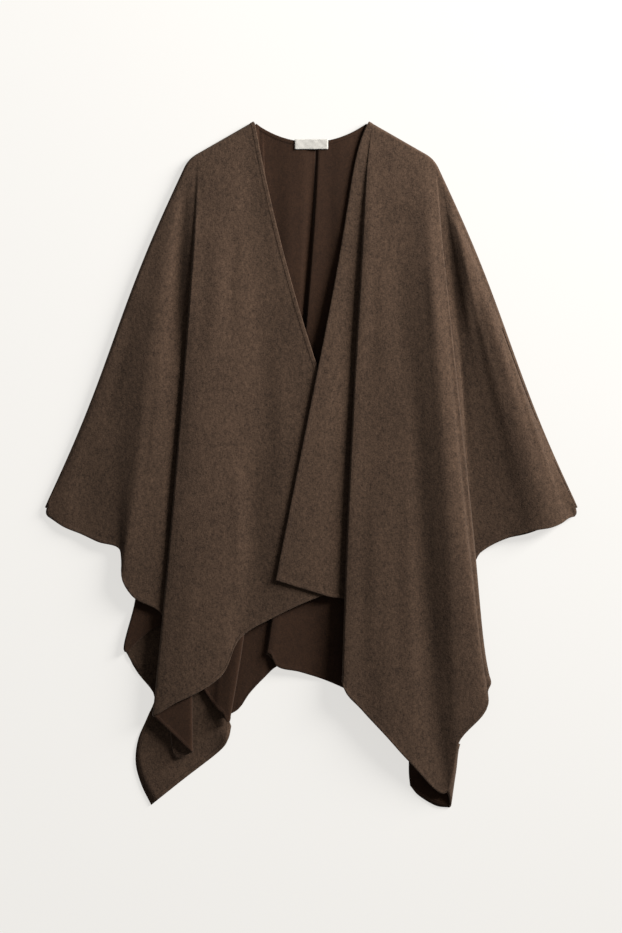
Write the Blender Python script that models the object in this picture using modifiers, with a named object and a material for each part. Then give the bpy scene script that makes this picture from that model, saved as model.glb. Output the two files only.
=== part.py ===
# A wool cape, laid out flat on its back with the fronts closed over each other.
# X runs across the garment, Y from hem to neck and Z up from the surface it lies on.
# The fold tables are in millimetres. Each row is a line of the cloth that runs from the
# shoulder fold, or the neck edge of the back, down to the hem.

import math
from collections import namedtuple

import bpy
import numpy as np

MM = 0.001

# Cloth
CLOTH_THICK = 2.2
HALF_CLOTH = CLOTH_THICK / 2
SEAM_GAP = 0.3
REST_HEIGHT = HALF_CLOTH

# The line where the cape folds over: neck, shoulder and the tip of each wing
NECK_HALF = 91.6
NECK_HEIGHT = 549.0
NECK_EDGE_LOW = 517.5
NECK_EDGE_POWER = 2.15
NECK_EDGE_END = 88.0
SHOULDER_X = 197.0
SHOULDER_Y = 488.5
SHOULDER_RADIUS = 48.0
TIP_X = 426.5
TIP_Y = -70.0
WING_BOW = 4.3

# Over the fold line each front turns under and ends at the back panel
FOLD_RADIUS_NECK = 4.0
FOLD_RADIUS_WING = 5.2
FOLD_RADIUS_TIP = 2.8
LIP = 14.0
LIP_AT_NECK = 5.0
LIP_GROWS_OVER = 25.0

# Folds that lap over the cloth beside them
FOLD_POINTS = 8
TIGHTEST_RADIUS = 2.3

# How far a turned corner bulges past its fold, as a share of the fold's radius, at its two
# ends and how late the bulge flattens between them
BULGE_FIRST = 0.6
BULGE_LAST = 0.25
BULGE_POWER = 3

# How sharply a turned corner curls up at its far edge, and how much of that edge curls
CURL_POWER = 5
CURL_SPAN = 0.6

# A line that bows near one end follows down^10 (1 - down), which peaks at 1 / END_BOW
END_BOW = 28.5

# Label
LABEL_LEFT = -26.3
LABEL_RIGHT = 26.8
LABEL_TOP = 521.5
LABEL_DEPTH = 16.0
LABEL_THICK = 0.8
LABEL_BRIDGE = 16.0

# The laid garment's middle, which the model's origin sits under
PLAN_CENTRE_Y = 1.47

# Mesh
STEPS_DOWN = 21
STEPS_ROUND = 5
STEPS_FLAP = 10
WIDEST_SPAN = 24.0
WIDEST_START = 50.0
WIDEST_TURN = 0.15

Row = namedtuple(
    "Row", "name kind start mid_x mid_y mid_z hem_x hem_y hem_z low_dx top_z high_dx", defaults=(0, 0, 0)
)

# start: distance from the neck point along the fold line. mid and hem: the line's middle
# and its end. kind: soft, or the edge and return of a fold that laps over its neighbour.
# low_dx and high_dx: how far the line bows sideways just above its hem and below its start.
# top_z: how far its start is raised over the line that it starts from.
FRONT_LEFT = (
    Row("front_edge", "soft", 0, 0, 188, 16.6, 140, -172, 11.6),
    Row("beside_edge", "soft", 8, -25, 182, 16.6, 78, -188, 13.6),
    Row("dip", "soft", 18, -47, 175, 16.6, -4, -216, 19.5),
    Row("flank", "soft", 32, -79, 166, 17, -59, -242, 17.5),
    Row("flute_shoulder", "soft", 46, -109, 140, 21, -113, -275, 16.5),
    Row("flute_right", "soft", 58, -136, 108, 24.5, -143, -335, 20.5),
    Row("flute_crest", "soft", 72, -165, 81, 27, -181, -362, 22.5),
    Row("flute_left", "soft", 88, -190, 65, 27, -217, -379, 22.5),
    Row("groove_edge", "edge", 101, -210, 52, 25, -252, -398, 20),
    Row("groove_return", "return", 109, -191, 57, 15, -190, -459, 9.5),
    Row("corner", "soft", 114, -207, 66, 15, -212, -468, 5.5),
    Row("side_low", "soft", 119, -215, 76, 16.5, -226, -415, 8),
    Row("side_high", "soft", 126, -222, 92, 18, -229, -311, 12.5),
    Row("small_flute_right", "soft", 150, -234, 105, 19.5, -239, -236, 17),
    Row("small_flute_top", "soft", 172, -250, 109, 21, -286, -208, 18),
    Row("small_flute_crest", "soft", 200, -263, 110, 22.3, -301, -184, 18.8),
    Row("small_flute_side", "soft", 240, -280, 106, 19.5, -302, -153, 16.5),
    Row("small_flute_foot", "soft", 285, -298, 97, 16, -305, -135, 14),
    Row("wing_middle", "soft", 390, -324, 60, 12, -341, -122, 11),
    Row("wing_outer", "soft", 510, -357, 10, 10, -367, -110, 9),
    Row("wing_edge", "soft", 620, -391, -36, 9.5, -396, -98, 8),
    Row("tip", "soft", 721, -424, -76, 6, -420.5, -81.5, 4),
)

FRONT_RIGHT = (
    Row("front_edge", "soft", 0, 16, 182, 20.8, -57, -183, 23, 0, 0, -7.5),
    Row("flap_middle", "soft", 2, 33, 176, 21.5, -15, -196, 23, 0, 0, -6.5),
    Row("flap_inner", "soft", 4, 50, 168, 20.5, 27, -209, 22, 0, 0, -5),
    Row("groove_return", "return", 7, 83, 118, 19.4, 68, -220, 17, 0, 0, -3.5),
    Row("groove_edge", "edge", 10, 67.5, 95, 28.8, 50, -356, 26.4, 0, 0, -3.5),
    Row("flute_left", "soft", 26, 93, 86, 29.3, 80, -389, 25.5, 0, 0, -2),
    Row("flute_crest", "soft", 50, 122, 75, 31, 118, -430, 26.5),
    Row("flute_right", "soft", 70, 149, 58, 32.4, 157, -473, 22.5),
    Row("valley", "soft", 84, 172, 34, 33.6, 216, -522, 11),
    Row("ridge_left", "soft", 95, 192, 28, 39.2, 224, -494, 15),
    Row("ridge_crest", "soft", 105, 211, 30, 43.5, 234, -444, 21),
    Row("ridge_right", "soft", 117, 227, 44, 39.5, 281.5, -381, 22),
    Row("ridge_edge", "edge", 130, 239.5, 60, 33, 286, -356, 19, -4.5),
    Row("ridge_return", "return", 142, 222.5, 66, 17, 241, -169, 6),
    Row("wing_inner", "soft", 154, 252.5, 158, 12, 276, -135, 7),
    Row("wing_floor", "soft", 165, 263, 156, 14.7, 306, -119, 9.5),
    Row("wing_dip", "soft", 177, 278, 152, 18, 338, -109, 15),
    Row("wing_rise", "soft", 193, 288, 150, 21.7, 361, -103, 20),
    Row("wing_crest", "soft", 214, 299, 146, 23.8, 383, -99, 21.5),
    Row("wing_fall", "soft", 400, 341, 88, 20, 399, -92.5, 17.5),
    Row("wing_edge", "soft", 600, 386, -12, 13.5, 412, -84, 9.5),
    Row("tip", "soft", 721, 424, -76, 6, 420.5, -81.5, 4),
)

# start: distance from the centre back, along the neck edge and then the fold line.
# Heights are above the cloth where it lies on the surface.
BACK = (
    Row("left_tip", "soft", -791, -403, -75, 0, -400, -93, 0),
    Row("left_wing_edge", "soft", -700, -375, -34, 0, -381, -97, 0),
    Row("left_wing_outer", "soft", -560, -332, 25, 0, -346, -113, 0),
    Row("left_wing_inner", "soft", -400, -285, 89, 0, -309, -129, 0),
    Row("turn_top", "soft", -330, -258, 105, 0, -273, -154, 6),
    Row("turn_middle", "soft", -300, -224, 97, 4, -279, -215, 7),
    Row("turn_low", "soft", -275, -205, 92, 6, -294, -297, 7.5),
    Row("arch_left", "soft", -255, -199, 86, 6, -270, -274, 7),
    Row("arch_rise", "soft", -235, -189, 79, 5, -242, -257, 6.5),
    Row("arch_top", "soft", -205, -178, 73, 4, -205, -287, 6),
    Row("arch_fall", "soft", -170, -160, 66, 3, -170, -361, 6.5),
    Row("arch_right", "soft", -117, -127, 60, 4, -155, -383, 9),
    Row("left_seam_end", "soft", -91.6, -117, 58, 5, -151, -388, 11, 0, 2.8),
    Row("left_neck_corner", "soft", -88, -110, 58, 5, -148, -391, 12, 0, 3.2),
    Row("side_pleat_crest", "soft", -83.5, -99, 57, 8, -140, -397, 13.4),
    Row("side_pleat_edge", "edge", -80, -76, 52, 9.4, -131, -409, 13.9),
    Row("side_pleat_return", "return", -75, -88, 52, 0, -143, -401, 4.5),
    Row("under_pleat", "soft", -66, -69, 52, 0, -117, -390, 4),
    Row("left_of_centre", "soft", -38, -54, 57, 3, -100, -366, 3, 0, 2),
    Row("beside_centre", "soft", -12, -31, 73, 4, -77, -341, 3, 0, 3),
    Row("centre_return", "return", 8, -8, 102, 0, -52, -321, 0.8, 0, 1),
    Row("centre_edge", "edge", 13, -19, 108, 9.4, -71, -300, 10.2, 0, 3.6),
    Row("centre_crest", "soft", 20, -4, 102, 9.4, -57, -319, 9.4, 0, 3.6),
    Row("right_of_centre", "soft", 32, 20, 89, 9, -18, -330, 6, 0, 4),
    Row("right_middle", "soft", 47, 46, 81, 11.3, 22, -343, 2, 0, 5),
    Row("right_outer", "soft", 62, 72, 73, 12, 56, -358, 0, 0, 5),
    Row("under_right_front", "soft", 76, 97, 65, 8, 94, -380, 0, 0, 4.5),
    Row("right_neck_corner", "soft", 88, 102, 63, 0, 109, -394, 0, 0, 3.2),
    Row("right_seam_end", "soft", 91.6, 113, 62, 0, 116, -400, 0, 0, 2.8),
    Row("under_right_flute", "soft", 117, 126, 60, 0, 142, -423, 0),
    Row("under_right_flank", "soft", 150, 158, 57, 0, 186, -440, 0),
    Row("right_corner", "soft", 195, 182, 54, 0, 214, -430, 0),
    Row("right_side_low", "soft", 230, 203, 57, 0, 260, -362, 0),
    Row("right_side_high", "soft", 265, 225, 73, 0, 254, -231, 0),
    Row("right_wing_inner", "soft", 300, 248, 129, 0, 276, -134, 0),
    Row("right_wing_middle", "soft", 400, 285, 89, 0, 305, -119, 0),
    Row("right_wing_outer", "soft", 560, 332, 25, 0, 346, -109, 0),
    Row("right_wing_edge", "soft", 700, 375, -34, 0, 381, -97, 0),
    Row("right_tip", "soft", 791, 403, -75, 0, 400, -93, 0),
)

# Corners that turn under, from a hem's fold to their own edges. slide is how far the lower
# layer lies past the fold's first end. first_side and last_side run from the fold's two
# ends to the far edge, and far_edge joins them. curl is how high that edge stands near its first end.
Flap = namedtuple("Flap", "first_row last_row slide curl first_side last_side far_edge")

BACK_CORNER = Flap(
    "turn_top",
    "turn_low",
    slide=(2, -10),
    curl=5,
    first_side=((-213, -263), (-152, -350), (-128, -417)),
    last_side=(
        (-277, -332), (-251, -368), (-262, -402), (-277, -438), (-281, -475), (-272, -510), (-256, -543),
    ),
    far_edge=((-128, -417), (-133, -438), (-148, -458), (-202, -500), (-256, -543)),
)

RIGHT_CORNER = Flap(
    "valley",
    "ridge_crest",
    slide=(5, -25),
    curl=0,
    first_side=((199, -544), (172, -528), (158, -512)),
    last_side=((206, -452), (182, -458), (156, -466)),
    far_edge=((158, -512), (156, -492), (156, -466)),
)


def smooth_path(points, position):
    """A point of the Catmull-Rom curve through points, at a position from 0 to 1."""
    points = np.asarray(points, float)
    spans = len(points) - 1
    at = min(max(position, 0.0), 1.0) * spans
    k = min(int(at), spans - 1)
    f = at - k
    p1, p2 = points[k], points[k + 1]
    p0 = points[k - 1] if k else 2 * p1 - p2
    p3 = points[k + 2] if k + 2 <= spans else 2 * p2 - p1
    return 0.5 * (
        2 * p1
        + (p2 - p0) * f
        + (2 * p0 - 5 * p1 + 4 * p2 - p3) * f**2
        + (3 * p1 - p0 - 3 * p2 + p3) * f**3
    )


def fold_line(along, side):
    """The place and outward direction of the shoulder fold, along mm from the neck."""
    neck = np.array((NECK_HALF, NECK_HEIGHT))
    corner = np.array((SHOULDER_X, SHOULDER_Y))
    tip = np.array((TIP_X, TIP_Y))
    first = (corner - neck) / np.linalg.norm(corner - neck)
    second = (tip - corner) / np.linalg.norm(tip - corner)
    bend = math.acos(first @ second)
    cut_off = SHOULDER_RADIUS * math.tan(bend / 2)
    straight = np.linalg.norm(corner - neck) - cut_off
    arc = SHOULDER_RADIUS * bend
    turn = min(max((along - straight) / arc, 0.0), 1.0) * bend
    heading = math.atan2(first[1], first[0]) - turn
    forward = np.array((math.cos(heading), math.sin(heading)))
    outward = np.array((-forward[1], forward[0]))
    if along <= straight:
        place = neck + first * along
    else:
        left_of_first = np.array((-first[1], first[0]))
        place = neck + first * straight + (outward - left_of_first) * SHOULDER_RADIUS
        past = max(along - straight - arc, 0.0)
        share = min(past / (np.linalg.norm(tip - corner) - cut_off), 1.0)
        place = place + second * past + outward * WING_BOW * math.sin(2 * math.pi * share)
    mirror = np.array((side, 1.0))
    return place * mirror, outward * mirror


def fold_radius(along):
    """The shoulder fold is slim at the neck and tip and fuller along the wing."""
    share = min(along / 720.0, 1.0)
    full = math.sin(math.pi * share) ** 2
    ends = FOLD_RADIUS_NECK + (FOLD_RADIUS_TIP - FOLD_RADIUS_NECK) * share
    return ends + (FOLD_RADIUS_WING - ends) * full


def lip_width(along):
    """How far a front reaches in from the fold line, under itself, along mm from the neck."""
    return LIP_AT_NECK + (LIP - LIP_AT_NECK) * min(along / LIP_GROWS_OVER, 1.0)


def line_point(start, row, down):
    """A point of the smooth line from start through a row's middle to its hem."""
    mid = np.array((row.mid_x, row.mid_y, row.mid_z), float)
    hem = np.array((row.hem_x, row.hem_y, row.hem_z), float)
    low, high = down**10 * (1 - down), (1 - down) ** 10 * down
    bow = np.array(((row.low_dx * low + row.high_dx * high) * END_BOW, 0.0, 0.0))
    return (
        (start + np.array((0.0, 0.0, row.top_z))) * (1 - down) * (1 - 2 * down)
        + mid * 4 * down * (1 - down)
        + hem * down * (2 * down - 1)
        + bow
    )


def lap_shape(overlap, height):
    """The S of a fold that laps over its neighbour: overlap, turn, radius, flat part."""
    if height < 4 * TIGHTEST_RADIUS:
        turn = math.acos(1 - height / (2 * TIGHTEST_RADIUS))
        limit = 2 * TIGHTEST_RADIUS * (1 - math.sin(turn))
        overlap = min(overlap, math.copysign(limit, turn - math.pi / 2))
    if overlap <= 0:
        reach = height - overlap
        turn = 2 * math.atan2(height, reach)
        return overlap, turn, reach / (2 * math.sin(turn)), 0.0
    if overlap >= height / 2:
        return overlap, math.pi, height / 4, overlap - height / 2
    low, high = math.pi / 2, math.pi
    for _ in range(30):
        turn = (low + high) / 2
        if (1 - math.sin(turn)) / (1 - math.cos(turn)) < overlap / height:
            low = turn
        else:
            high = turn
    return overlap, turn, height / (2 * (1 - math.cos(turn))), 0.0


def lap_points(hidden, edge, way, count):
    """Points of a lapped fold, from its hidden return up to the layer past its edge.

    way is 1 where the upper layer runs on to the right of the edge, and -1 to the left.
    """
    height = max(edge[2] - hidden[2], 0.05)
    overlap, turn, radius, flat = lap_shape((hidden[0] - edge[0]) * way, height)
    steps = 10
    angles = np.linspace(0.0, turn, steps)
    lower = np.stack((radius * np.sin(angles), radius * (1 - np.cos(angles))), axis=1)
    heading = np.array((math.cos(turn), math.sin(turn)))
    level = lower[-1] + np.linspace(0.0, flat, steps)[:, None] * heading
    upper = level[-1] + lower[-1] - lower[::-1]
    path = np.concatenate((lower, level[1:], upper[1:]))
    lengths = np.linalg.norm(np.diff(path, axis=0), axis=1)
    bends = np.ones(len(lengths))
    bends[steps - 1 : -(steps - 1)] = 0.0
    weights = 0.4 * lengths / lengths.sum() + 0.6 * bends / bends.sum()
    weights = np.concatenate(((0.0,), np.cumsum(weights)))
    wanted = np.linspace(0.0, weights[-1], count)
    across = np.interp(wanted, weights, path[:, 0]) - path[-1, 0] / 2
    level_share = np.concatenate((np.zeros(steps - 1), np.linspace(0, 1, steps), np.ones(steps - 1)))
    level_share = np.interp(wanted, weights, level_share)
    mix = flat / (flat + height)
    share = np.linspace(0.0, 1.0, count) * (1 - mix) + level_share * mix
    return np.stack(
        (
            edge[0] + way * (overlap / 2 + across),
            hidden[1] + (edge[1] - hidden[1]) * share,
            hidden[2] + np.interp(wanted, weights, path[:, 1]),
        ),
        axis=1,
    )


def section(rows, starts, down):
    """The points of one section across a panel, a share down its lines."""
    points = []
    lines = [line_point(start, row, down) for start, row in zip(starts, rows)]
    for k, row in enumerate(rows):
        if row.kind == "soft":
            points.append(lines[k])
        elif rows[k - 1].kind == "soft":
            edge, hidden = (k, k + 1) if row.kind == "edge" else (k + 1, k)
            way = math.copysign(1.0, rows[hidden].mid_x - rows[edge].mid_x)
            lap = lap_points(lines[hidden], lines[edge], way, FOLD_POINTS)
            points.extend(lap if hidden == k else lap[::-1])
    return np.array(points)


def spread_over_points(rows, values):
    """One value for each point of a section, from one for each row."""
    spread = []
    for k, row in enumerate(rows):
        if row.kind == "soft":
            spread.append(values[k])
        elif rows[k - 1].kind == "soft":
            spread.extend(np.linspace(values[k], values[k + 1], FOLD_POINTS))
    return np.array(spread, float)


def column_places(rows, neck_half):
    """Where the mesh's columns fall: the section's points, and more between soft rows."""
    middles = spread_over_points(rows, [row.mid_x for row in rows])
    starts = spread_over_points(rows, [abs(row.start) - neck_half for row in rows])
    places = []
    for k in range(len(middles) - 1):
        turn = fold_line(starts[k], 1.0)[1] @ fold_line(starts[k + 1], 1.0)[1]
        turn = math.acos(min(turn, 1.0))
        width = abs(middles[k + 1] - middles[k])
        top = abs(starts[k + 1] - starts[k])
        steps = math.ceil(max(width / WIDEST_SPAN, top / WIDEST_START, turn / WIDEST_TURN, 1.0))
        places.extend(k + np.arange(steps) / steps)
    return places + [float(len(middles) - 1)]


def curve_through(points, places):
    """A smooth curve through points, read at places counted from point to point."""
    chords = np.maximum(np.linalg.norm(np.diff(points, axis=0), axis=1), 1e-4)[:, None]
    slopes = np.diff(points, axis=0) / chords
    inner = (slopes[1:] * chords[:-1] + slopes[:-1] * chords[1:]) / (chords[:-1] + chords[1:])
    tangents = np.concatenate((slopes[:1], inner, slopes[-1:]))
    k = np.minimum(np.asarray(places).astype(int), len(points) - 2)
    f = (np.asarray(places) - k)[:, None]
    return (
        points[k] * (1 + 2 * f) * (1 - f) ** 2
        + points[k + 1] * (3 - 2 * f) * f**2
        + tangents[k] * chords[k] * f * (1 - f) ** 2
        - tangents[k + 1] * chords[k] * f**2 * (1 - f)
    )


def front_start(along, side):
    """Where a front's line leaves the shoulder fold, on its upper side."""
    place, outward = fold_line(along, side)
    radius = fold_radius(along)
    return np.array((*(place - outward * radius), REST_HEIGHT + 2 * radius))


def back_start(start):
    """Where a line of the back starts, at the neck edge or inside the shoulder fold."""
    side = math.copysign(1.0, start)
    at = min(abs(start), NECK_EDGE_END)
    rise = (NECK_HEIGHT - NECK_EDGE_LOW) * (at / NECK_HALF) ** NECK_EDGE_POWER
    edge = np.array((side * at, NECK_EDGE_LOW + rise))
    along = max(abs(start) - NECK_HALF, 0.0)
    place, outward = fold_line(along, side)
    seam = place - outward * (lip_width(along) + SEAM_GAP)
    share = min(max((abs(start) - NECK_EDGE_END) / (NECK_HALF - NECK_EDGE_END), 0.0), 1.0)
    return np.array((*(edge * (1 - share) + seam * share), REST_HEIGHT))


def sheet_sections(rows, starts, places, top):
    """The sections of a panel from its top line to its hem."""
    sheet = []
    slip = top - curve_through(section(rows, starts, 0.0), places)
    for down in np.linspace(0.0, 1.0, STEPS_DOWN):
        points = curve_through(section(rows, starts, down), places) + slip * (1 - down) ** 3
        points[:, 2] = np.maximum(points[:, 2], REST_HEIGHT)
        sheet.append(points)
    return sheet


def front_panel(rows, side):
    """The sections of a front, from the edge that it turns under to its hem."""
    places = column_places(rows, 0.0)
    along = spread_over_points(rows, [row.start for row in rows])
    along = np.interp(places, np.arange(len(along)), along)
    starts = [front_start(row.start, side) for row in rows]
    top = [front_start(a, side) for a in along]
    sheet = sheet_sections(rows, starts, places, top)
    outward = np.array([fold_line(a, side)[1] for a in along])
    radius = np.array([fold_radius(a) for a in along])[:, None]
    turned = []
    for angle in np.linspace(math.pi, 0.0, STEPS_ROUND)[:-1]:
        ring = sheet[0].copy()
        ring[:, :2] += outward * radius * math.sin(angle)
        ring[:, 2:] -= radius * (1 - math.cos(angle))
        turned.append(ring)
    width = np.array([lip_width(a) for a in along])[:, None]
    lip = turned[0].copy()
    lip[:, :2] -= outward * (width - radius)
    return np.array([lip, *turned, *sheet]), places


def raised_rows(rows):
    """The back's rows with their heights counted from the surface it lies on."""
    return [
        row._replace(mid_z=row.mid_z + REST_HEIGHT, hem_z=row.hem_z + REST_HEIGHT) for row in rows
    ]


def back_panel(rows):
    """The sections of the back, from the neck and shoulders to its hem."""
    places = column_places(rows, NECK_HALF)
    along = spread_over_points(rows, [row.start for row in rows])
    along = np.interp(places, np.arange(len(along)), along)
    starts = [back_start(row.start) for row in rows]
    lift = spread_over_points(rows, [row.top_z for row in rows])
    lift = np.interp(places, np.arange(len(lift)), lift)
    top = [back_start(a) + np.array((0.0, 0.0, z)) for a, z in zip(along, lift)]
    return np.array(sheet_sections(raised_rows(rows), starts, places, top)), places


def row_column(rows, places, name):
    """The mesh column that a named soft row runs along."""
    order = spread_over_points(rows, range(len(rows)))
    wanted = [row.name for row in rows].index(name)
    return places.index(float(list(order).index(wanted)))


def flap_grid(fold, flap):
    """A corner that turns under a fold and lies flat on the surface, fold row first."""
    count = len(fold)
    shares = np.linspace(0.0, 1.0, count)[:, None]
    tangent = fold[-1, :2] - fold[0, :2]
    outward = np.array((tangent[1], -tangent[0])) / np.linalg.norm(tangent)
    inside = np.mean(flap.far_edge, axis=0) - fold[:, :2].mean(axis=0)
    outward *= -math.copysign(1.0, outward @ inside)
    radius = (fold[:, 2] - REST_HEIGHT) / 2
    bulge = radius * (BULGE_FIRST - (BULGE_FIRST - BULGE_LAST) * shares[:, 0] ** BULGE_POWER)
    slide = np.array(flap.slide) * (1 - shares) ** 2
    rows = []
    for angle in np.linspace(0.0, math.pi, STEPS_ROUND)[1:]:
        turned = fold.copy()
        turned[:, :2] += outward * (bulge * math.sin(angle))[:, None]
        turned[:, :2] += slide * (1 - math.cos(angle)) / 2
        turned[:, 2] -= radius * (1 - math.cos(angle))
        rows.append(turned)
    fold = rows[-1]
    first = (fold[0, :2], *flap.first_side)
    last = (fold[-1, :2], *flap.last_side)
    far = np.array([smooth_path(flap.far_edge, share) for share in shares[:, 0]])
    curled = np.minimum(shares[:, 0] / CURL_SPAN, 1.0)
    for out in np.linspace(0.0, 1.0, STEPS_FLAP)[1:]:
        start, end = smooth_path(first, out), smooth_path(last, out)
        ruled = fold[:, :2] * (1 - out) + far * out
        sides = start * (1 - shares) + end * shares
        corners = (first[0] * (1 - out) + far[0] * out) * (1 - shares)
        corners = corners + (last[0] * (1 - out) + far[-1] * out) * shares
        flat = ruled + sides - corners
        rise = flap.curl * out**CURL_POWER * np.sin(np.pi * curled) ** 2
        rows.append(np.column_stack((flat, REST_HEIGHT + rise)))
    return np.array(rows)


def cloth(name, grid, thick, material, flap=None, flap_columns=()):
    """A panel: the grid's middle surface, thickened to the cloth's wall."""
    rows, columns = grid.shape[:2]
    points = [tuple(p) for p in grid.reshape(-1, 3)]
    faces = []
    for j in range(rows - 1):
        for i in range(columns - 1):
            k = j * columns + i
            faces.append((k, k + 1, k + 1 + columns, k + columns))
    if flap is not None:
        above = [(rows - 1) * columns + i for i in flap_columns]
        for row in flap:
            below = list(range(len(points), len(points) + len(row)))
            points.extend(tuple(p) for p in row)
            for i in range(len(row) - 1):
                faces.append((above[i], above[i + 1], below[i + 1], below[i]))
            above = below
    mesh = bpy.data.meshes.new(name)
    placed = [(x * MM, (y - PLAN_CENTRE_Y) * MM, z * MM) for x, y, z in points]
    mesh.from_pydata(placed, [], faces)
    mesh.materials.append(material)
    mesh.shade_smooth()
    panel = bpy.data.objects.new(name, mesh)
    garment.objects.link(panel)
    wall = panel.modifiers.new("wall", "SOLIDIFY")
    wall.thickness = thick * MM
    wall.offset = 0.0
    wall.use_even_offset = False
    return panel


def label_grid(rows):
    """The label's middle surface, which bridges the folds of the back's neck edge."""
    starts = [back_start(row.start) for row in rows]
    raised = raised_rows(rows)
    clear = HALF_CLOTH + SEAM_GAP + LABEL_THICK / 2
    across = np.linspace(LABEL_LEFT, LABEL_RIGHT, 9)
    span = np.linspace(-LABEL_BRIDGE, LABEL_BRIDGE, 9)
    near = across + span[:, None, None] + span[None, :, None] / 2
    grid = []
    for y in np.linspace(LABEL_TOP, LABEL_TOP - LABEL_DEPTH, 4):
        share = max(0.0, (NECK_EDGE_LOW - y) / (NECK_EDGE_LOW - raised[-1].hem_y))
        under = section(raised, starts, share)
        order = np.argsort(under[:, 0])
        height = np.interp(near, under[order, 0], under[order, 2]).max(axis=0).mean(axis=0)
        grid.append([(x, y, z + clear) for x, z in zip(across, height)])
    return np.array(grid)


def wool(name, colour, roughness):
    """A plain Principled material with a piece's colour."""
    material = bpy.data.materials.new(name)
    material.use_nodes = True
    shader = material.node_tree.nodes["Principled BSDF"]
    shader.inputs["Base Color"].default_value = (*colour, 1.0)
    shader.inputs["Roughness"].default_value = roughness
    shader.inputs["Metallic"].default_value = 0.0
    return material


def front(name, rows, side, flap=None):
    """One front, with the corner that turns under it if it has one."""
    grid, places = front_panel(rows, side)
    turned, columns = None, ()
    if flap is not None:
        first = row_column(rows, places, flap.first_row)
        last = row_column(rows, places, flap.last_row)
        columns = range(first, last + 1)
        turned = flap_grid(grid[-1, first : last + 1], flap)
    return cloth(name, grid, CLOTH_THICK, right_side, turned, columns)


def back(name, rows, flap):
    """The back, with its left corner turned under."""
    grid, places = back_panel(rows)
    first = row_column(rows, places, flap.first_row)
    last = row_column(rows, places, flap.last_row)
    turned = flap_grid(grid[-1, first : last + 1], flap)
    return cloth(name, grid, CLOTH_THICK, wrong_side, turned, range(first, last + 1))


for old in list(bpy.data.objects):
    bpy.data.objects.remove(old)

garment = bpy.data.collections.new("poncho")
bpy.context.scene.collection.children.link(garment)

right_side = wool("melange_wool", (0.088, 0.055, 0.040), 0.95)
wrong_side = wool("plain_wool", (0.062, 0.037, 0.026), 0.95)
label_cloth = wool("label_satin", (0.80, 0.78, 0.72), 0.6)

back("back_panel", BACK, BACK_CORNER)
front("front_left", FRONT_LEFT, -1.0)
front("front_right", FRONT_RIGHT, 1.0, RIGHT_CORNER)
cloth("neck_label", label_grid(BACK), LABEL_THICK, label_cloth)
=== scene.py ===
# A brown wool cape laid out flat on a pale floor, seen from straight above.
# The sheets follow the frame's solids, with finer folds, turned hems and creases.

import math
from collections import namedtuple

import bpy
import numpy as np
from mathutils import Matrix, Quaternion, Vector, noise


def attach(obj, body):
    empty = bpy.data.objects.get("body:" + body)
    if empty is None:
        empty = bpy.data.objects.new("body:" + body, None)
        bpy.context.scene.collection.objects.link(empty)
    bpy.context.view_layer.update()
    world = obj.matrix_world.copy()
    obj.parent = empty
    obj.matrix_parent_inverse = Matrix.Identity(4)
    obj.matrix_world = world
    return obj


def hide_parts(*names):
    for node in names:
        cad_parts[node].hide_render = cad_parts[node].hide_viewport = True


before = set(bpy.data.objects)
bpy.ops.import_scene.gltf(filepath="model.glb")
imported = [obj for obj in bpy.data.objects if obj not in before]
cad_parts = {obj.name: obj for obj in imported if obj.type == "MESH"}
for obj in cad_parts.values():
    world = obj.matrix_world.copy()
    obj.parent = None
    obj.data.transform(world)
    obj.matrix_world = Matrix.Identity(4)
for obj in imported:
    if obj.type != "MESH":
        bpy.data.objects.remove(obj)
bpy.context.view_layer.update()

print("frame loaded")

# the cloth's plan, in millimetres; planMiddleY is the laid garment's middle

mm = 0.001
planMiddleY = 1.47

cloth = {
    "thickness": 2.2,
    "hemThickness": 3.1,      # where the edge is turned and stitched
    "hemWidth": 6.6,
    "hemRound": (0.5, 1.4),   # where the hem's rounded rim is narrow and full
    "hemFall": (-0.7, 0.9, 2.4),  # round the hem's inner line, where it thins to the cloth
    "seamGap": 0.3,
    "wave": 0.35,             # gentle unevenness of the whole sheet
    "waveLength": 70.0,
}
restHeight = cloth["thickness"] / 2

shoulderFold = {
    "neckHalf": 91.6,
    "neckHeight": 549.0,
    "neckEdgeLow": 517.5,
    "neckEdgePower": 2.15,
    "neckEdgeEnd": 88.0,
    "cornerX": 197.0,
    "cornerY": 488.5,
    "cornerRadius": 48.0,
    "tipX": 426.5,
    "tipY": -70.0,
    "length": 720.0,          # from the neck to the tip
    "wingBow": 4.3,
    "radiusNeck": 4.0,
    "radiusWing": 5.2,
    "radiusTip": 2.8,
    "lip": 14.0,
    "lipAtNeck": 5.0,
    "lipGrowsOver": 25.0,
}

detail = {
    "lapPoints": 26,          # points round a fold that laps over its neighbour
    "tightestRadius": 2.3,
    "widestSpan": 6.0,
    "stepsDown": 150,
    "stepsRound": 9,
    "stepsFlap": 30,
    "flapRows": 80,
    "widestTurn": 0.06,
    "fadeAtFold": 0.08,       # share of a line over which creases start at the fold
    "bandColumns": 7,         # first points that the front edge's fine lines replace
}
lineBow = {"power": 10, "scale": 28.5}    # down^power (1 - down) peaks at 1 / scale
cornerTurn = {
    "bulgeFirst": 0.6,        # how far it bulges past its fold, as a share of the radius
    "bulgeLast": 0.25,
    "bulgePower": 3,
    "curlPower": 5,
    "curlSpan": 0.6,          # share of the far edge that curls up
}

Row = namedtuple(
    "Row", "name kind start midX midY midZ hemX hemY hemZ lowDx topZ highDx", defaults=(0, 0, 0)
)
Flap = namedtuple("Flap", "firstRow lastRow slide curl firstSide lastSide farEdge")

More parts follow.
